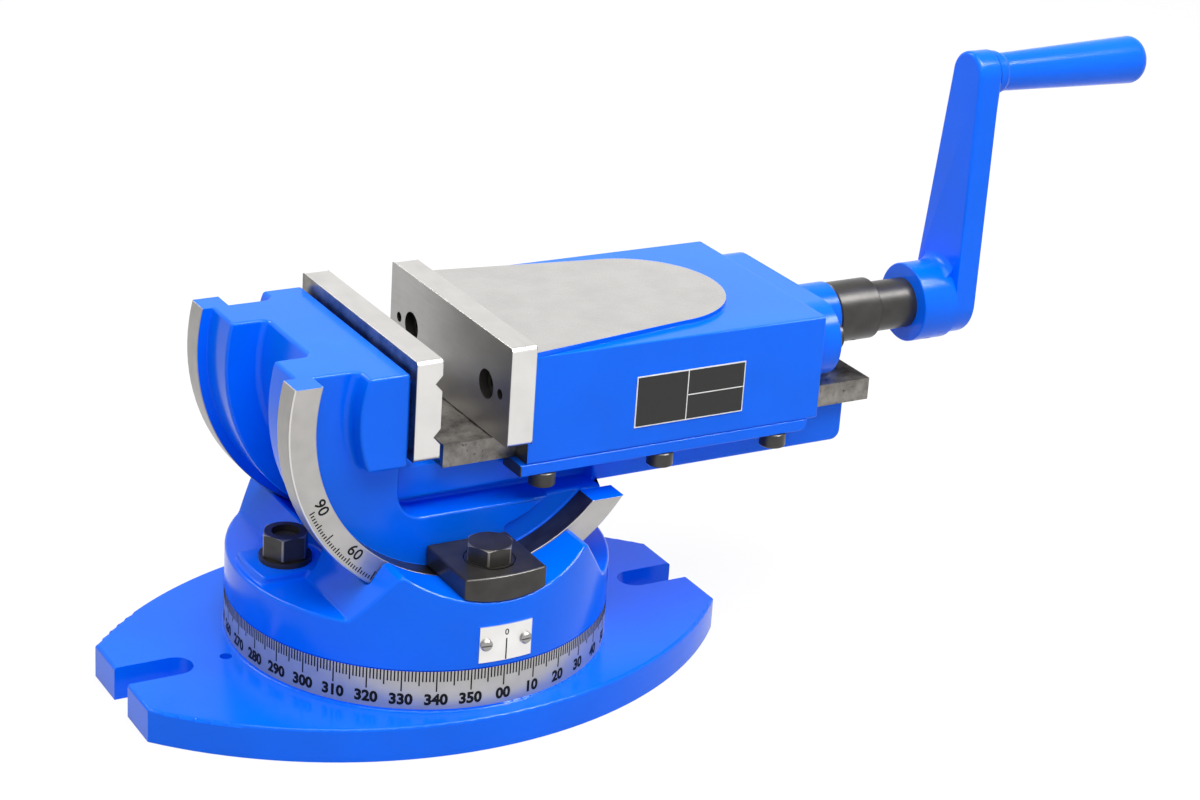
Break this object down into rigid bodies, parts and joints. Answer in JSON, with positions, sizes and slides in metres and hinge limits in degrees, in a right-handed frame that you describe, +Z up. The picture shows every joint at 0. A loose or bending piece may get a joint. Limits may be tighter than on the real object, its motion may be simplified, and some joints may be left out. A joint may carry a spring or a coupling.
{
  "type": "tilting swivel machine vise",
  "caption": "Machine vise on a graduated swivel base, with a rocker that tilts it upright, hardened jaw plates and a crank on the spindle.",
  "frame": {"origin": "point where the swivel axis meets the underside of the base", "axes": "+X along the bed from the fixed jaw to the crank, +Y across the jaws to the back, +Z up along the swivel axis"},
  "size_m": [0.6636, 0.242, 0.3363],
  "materials": {
    "blue_paint": "gloss blue paint on cast iron",
    "ground_steel": "ground",
    "dark_steel": "dull, worn",
    "black_oxide": "black oxide, oiled",
    "bronze": "turned bronze"
  },
  "bodies": {
    "base": {"base_plate": "blue_paint", "pivot_pin": "ground_steel"},
    "turntable": {"turntable": "blue_paint", "index_plate": "ground_steel", "index_screws": "ground_steel", "swivel_bolts": "black_oxide", "swivel_washers": "black_oxide", "swivel_nuts": "black_oxide", "clamp_front": "black_oxide", "clamp_rear": "black_oxide", "clamp_bolts": "black_oxide", "clamp_washers": "black_oxide"},
    "vise": {"vise_body": "blue_paint", "fixed_jaw_plate": "ground_steel", "fixed_jaw_screws": "black_oxide", "slide_plate": "dark_steel", "slide_plate_screws": "black_oxide", "spindle_nut": "bronze", "spindle_nut_screws": "black_oxide"},
    "jaw": {"movable_jaw": "blue_paint", "movable_jaw_plate": "ground_steel", "movable_jaw_screws": "black_oxide", "keeper_near": "blue_paint", "keeper_far": "blue_paint", "keeper_screws": "black_oxide", "spindle_flange": "blue_paint", "flange_screws": "black_oxide", "thrust_washer": "bronze"},
    "spindle": {"lead_screw": "black_oxide", "thrust_collar": "black_oxide", "collar_pin": "ground_steel", "inner_collar": "ground_steel", "inner_collar_screw": "black_oxide", "crank_arm": "blue_paint", "hub_pin": "ground_steel", "handle_axle": "ground_steel"},
    "handle": {"handle_grip": "blue_paint"}
  },
  "joints": [
    {"name": "swivel", "type": "hinge", "parent": "base", "child": "turntable", "pos_m": [0, 0, 0.0446], "axis": [0, 0, 1], "continuous": true},
    {"name": "tilt", "type": "hinge", "parent": "turntable", "child": "vise", "pos_m": [0, 0, 0.182], "axis": [0, -1, 0], "range_deg": [0, 90]},
    {"name": "jaw_slide", "type": "slide", "parent": "vise", "child": "jaw", "axis": [1, 0, 0], "range_m": [-0.0408, 0.065]},
    {"name": "crank_turn", "type": "hinge", "parent": "jaw", "child": "spindle", "pos_m": [0.2, 0, 0.1767], "axis": [1, 0, 0], "range_deg": [-2930, 4640]},
    {"name": "handle_spin", "type": "hinge", "parent": "spindle", "child": "handle", "pos_m": [0.43, -0.00658, 0.32155], "axis": [1, 0, 0], "continuous": true}
  ],
  "couplings": [
    {"joint": "jaw_slide", "follows": "crank_turn", "m_per_rad": 0.00079577}
  ]
}
